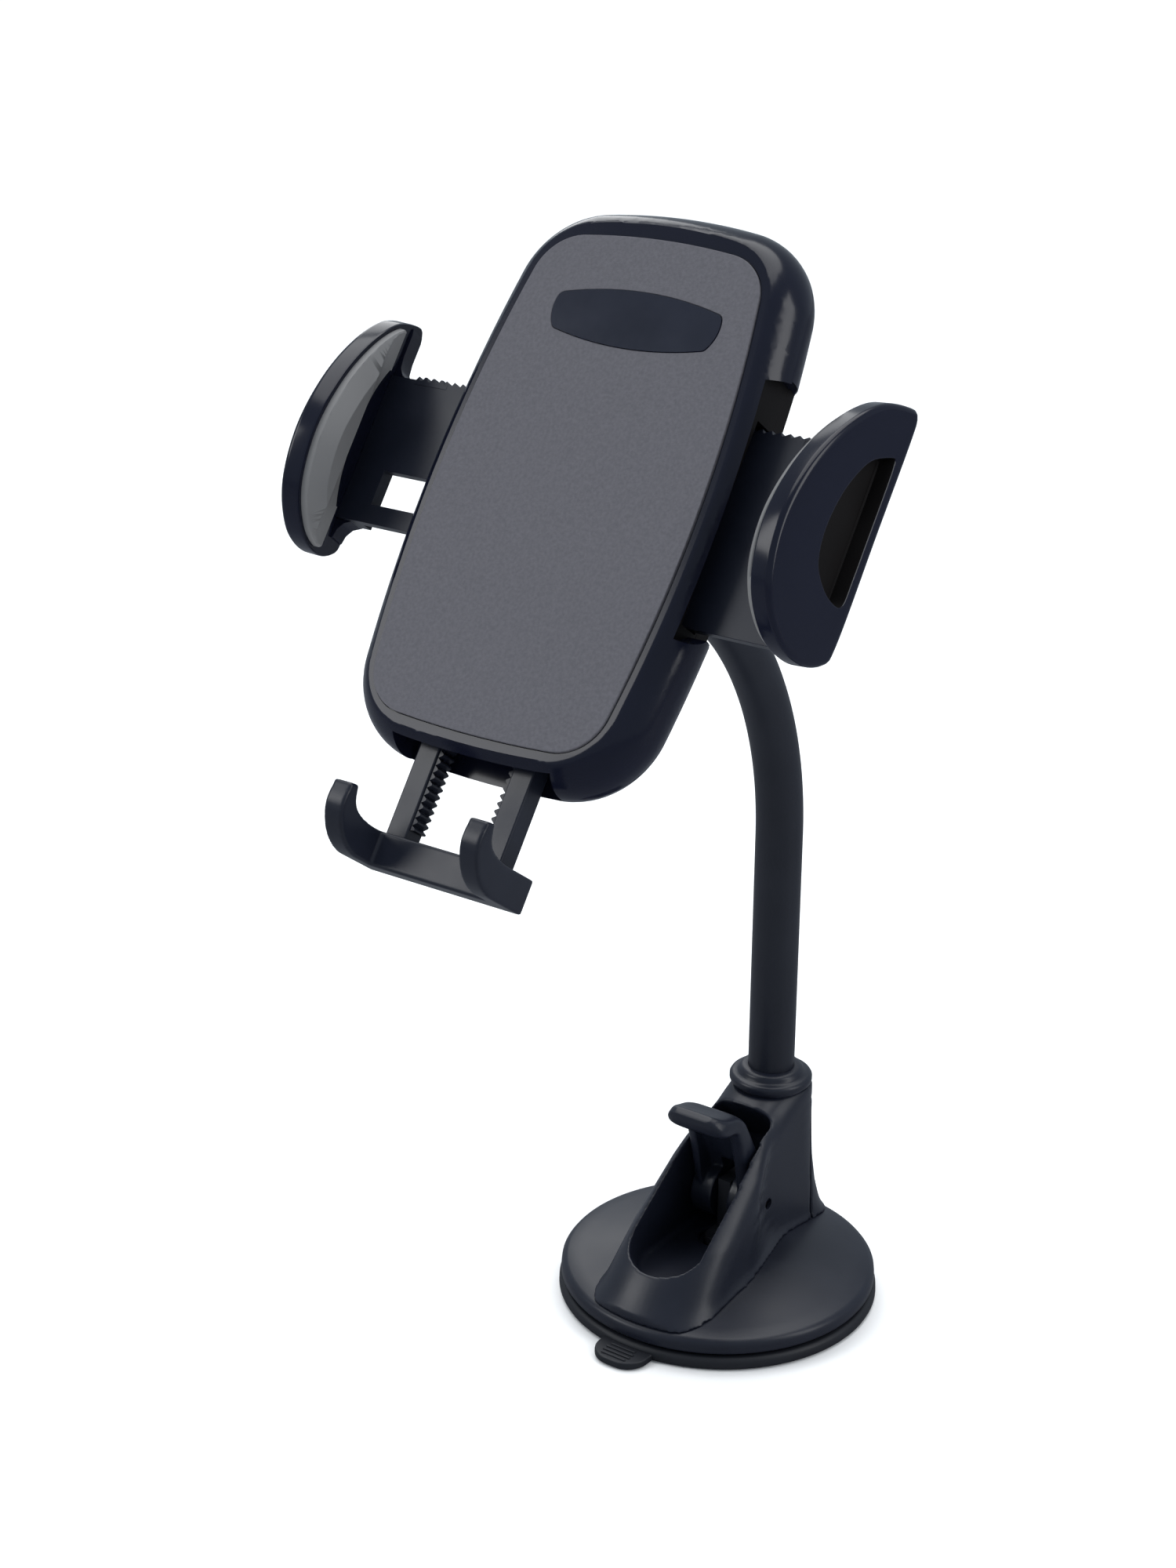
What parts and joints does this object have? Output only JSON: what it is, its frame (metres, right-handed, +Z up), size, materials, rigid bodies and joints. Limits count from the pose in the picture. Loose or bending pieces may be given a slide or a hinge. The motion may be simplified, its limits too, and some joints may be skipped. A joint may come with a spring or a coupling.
{
  "type": "car phone mount",
  "caption": "Suction-cup phone mount with a cam lever, a gooseneck, a ball-jointed head, linked side grips and a sliding hooked foot.",
  "frame": {"origin": "centre of the suction cup's underside, on the surface it stands on", "axes": "+Z up from the surface, -Y to the side that the phone faces, +X to the right of someone facing the phone"},
  "size_m": [0.119, 0.1457, 0.2448],
  "materials": {
    "cup_rubber": "satin black rubber",
    "base_plastic": "satin moulded plastic",
    "lever_plastic": "satin moulded plastic",
    "steel": "bright steel",
    "neck_rubber": "satin rubber sleeve",
    "liner_plastic": "natural acetal",
    "liner_dark": "smooth moulded plastic",
    "shell_plastic": "high gloss",
    "face_rubber": "fine-grained soft rubber",
    "badge_plastic": "gloss",
    "arm_plastic": "satin moulded plastic",
    "grip_rubber": "matt soft rubber"
  },
  "bodies": {
    "base": {"suction_cup": "cup_rubber", "base_dish": "base_plastic", "tower_housing": "base_plastic", "tower_rear_cover": "base_plastic", "neck_collar": "base_plastic", "lever_pin": "steel", "base_screws": "steel", "stem_spring": "steel", "neck_sleeve_1": "neck_rubber", "neck_core_1": "steel"},
    "lever": {"cam_lever": "lever_plastic"},
    "stem": {"suction_stem": "lever_plastic"},
    "neck_2": {"neck_sleeve_2": "neck_rubber", "neck_core_2": "steel"},
    "neck_3": {"neck_sleeve_3": "neck_rubber", "neck_core_3": "steel"},
    "neck_4": {"neck_sleeve_4": "neck_rubber", "neck_core_4": "steel"},
    "neck_5": {"neck_sleeve_5": "neck_rubber", "neck_core_5": "steel"},
    "neck_6": {"neck_sleeve_6": "neck_rubber", "neck_core_6": "steel"},
    "neck_7": {"neck_sleeve_7": "neck_rubber", "neck_core_7": "steel", "neck_ferrule": "base_plastic", "ball_stud": "liner_dark"},
    "ball_liner": {"ball_seat": "liner_plastic"},
    "front_liner": {"friction_disc": "liner_plastic"},
    "head": {"front_shell": "shell_plastic", "back_shell": "shell_plastic", "face_pad": "face_rubber", "label_plate": "badge_plastic", "shell_screws": "steel", "pinion_pin": "steel", "foot_detents": "steel", "button_spring": "steel"},
    "nut": {"socket_nut": "base_plastic"},
    "left_jaw": {"left_arm": "arm_plastic", "left_grip": "shell_plastic", "left_grip_pad": "grip_rubber"},
    "right_jaw": {"right_arm": "arm_plastic", "right_grip": "shell_plastic", "right_grip_pad": "grip_rubber"},
    "gear": {"pinion": "liner_plastic"},
    "foot": {"foot_bracket": "arm_plastic"},
    "button": {"release_button": "arm_plastic"},
    "pawl": {"ratchet_pawl": "liner_plastic"}
  },
  "joints": [
    {"name": "lever_press", "type": "hinge", "parent": "base", "child": "lever", "pos_m": [0, 0.006, 0.021], "axis": [1, 0, 0], "range_deg": [0, 65]},
    {"name": "stem_lift", "type": "slide", "parent": "base", "child": "stem", "axis": [0, 0, 1], "range_m": [0, 0.0025], "deforming": ["stem_spring"]},
    {"name": "neck_fore_aft_1", "type": "hinge", "parent": "base", "child": "neck_2", "pos_m": [0, 0.0203, 0.0613], "axis": [1, 0, 0], "range_deg": [-8, 8]},
    {"name": "neck_sideways_1", "type": "hinge", "parent": "neck_2", "child": "neck_3", "pos_m": [0, 0.0203, 0.08157], "axis": [0, 1, 0], "range_deg": [-8, 8]},
    {"name": "neck_fore_aft_2", "type": "hinge", "parent": "neck_3", "child": "neck_4", "pos_m": [0, 0.0203, 0.10184], "axis": [1, 0, 0], "range_deg": [-8, 8]},
    {"name": "neck_sideways_2", "type": "hinge", "parent": "neck_4", "child": "neck_5", "pos_m": [0, 0.01815, 0.12194], "axis": [0, 0.9717, 0.2361], "range_deg": [-8, 8]},
    {"name": "neck_fore_aft_3", "type": "hinge", "parent": "neck_5", "child": "neck_6", "pos_m": [0, 0.01081, 0.14077], "axis": [1, 0, 0], "range_deg": [-8, 8]},
    {"name": "neck_sideways_3", "type": "hinge", "parent": "neck_6", "child": "neck_7", "pos_m": [0, -0.00123, 0.157], "axis": [0, 0.7167, 0.6974], "range_deg": [-8, 8]},
    {"name": "ball_tilt", "type": "hinge", "parent": "neck_7", "child": "ball_liner", "pos_m": [0, -0.03618, 0.18365], "axis": [1, 0, 0], "range_deg": [-20, 20]},
    {"name": "ball_pan", "type": "hinge", "parent": "ball_liner", "child": "front_liner", "pos_m": [0, -0.03618, 0.18365], "axis": [0, 0.5854, 0.8108], "range_deg": [-20, 20]},
    {"name": "head_spin", "type": "hinge", "parent": "front_liner", "child": "head", "pos_m": [0, -0.03618, 0.18365], "axis": [0, -0.8108, 0.5854], "continuous": true},
    {"name": "nut_turn", "type": "hinge", "parent": "head", "child": "nut", "pos_m": [0, -0.03618, 0.18365], "axis": [0, -0.8108, 0.5854], "range_deg": [-120, 0]},
    {"name": "left_jaw_slide", "type": "slide", "parent": "head", "child": "left_jaw", "axis": [1, 0, 0], "range_m": [0, 0.014]},
    {"name": "right_jaw_slide", "type": "slide", "parent": "head", "child": "right_jaw", "axis": [-1, 0, 0], "range_m": [0, 0.014]},
    {"name": "gear_turn", "type": "hinge", "parent": "head", "child": "gear", "pos_m": [0, -0.05669, 0.19112], "axis": [0, -0.8108, 0.5854], "range_deg": [-267.39, 0]},
    {"name": "foot_slide", "type": "slide", "parent": "head", "child": "foot", "axis": [0, -0.5854, -0.8108], "range_m": [-0.014, 0.008]},
    {"name": "button_press", "type": "slide", "parent": "head", "child": "button", "axis": [0, -0.8108, 0.5854], "range_m": [0, 0.0015], "stiffness_N_per_m": 300},
    {"name": "pawl_lift", "type": "slide", "parent": "head", "child": "pawl", "axis": [0, 0.5854, 0.8108], "range_m": [0, 0.0012]}
  ],
  "couplings": [
    {"joint": "stem_lift", "follows": "lever_press", "m_per_rad": 0.0022037},
    {"joint": "neck_fore_aft_2", "follows": "neck_fore_aft_1", "ratio": 1},
    {"joint": "neck_sideways_2", "follows": "neck_sideways_1", "ratio": 1},
    {"joint": "neck_fore_aft_3", "follows": "neck_fore_aft_1", "ratio": 1},
    {"joint": "neck_sideways_3", "follows": "neck_sideways_1", "ratio": 1},
    {"joint": "right_jaw_slide", "follows": "left_jaw_slide", "ratio": 1},
    {"joint": "gear_turn", "follows": "left_jaw_slide", "rad_per_m": -333.33},
    {"joint": "pawl_lift", "follows": "button_press", "ratio": 0.8}
  ]
}
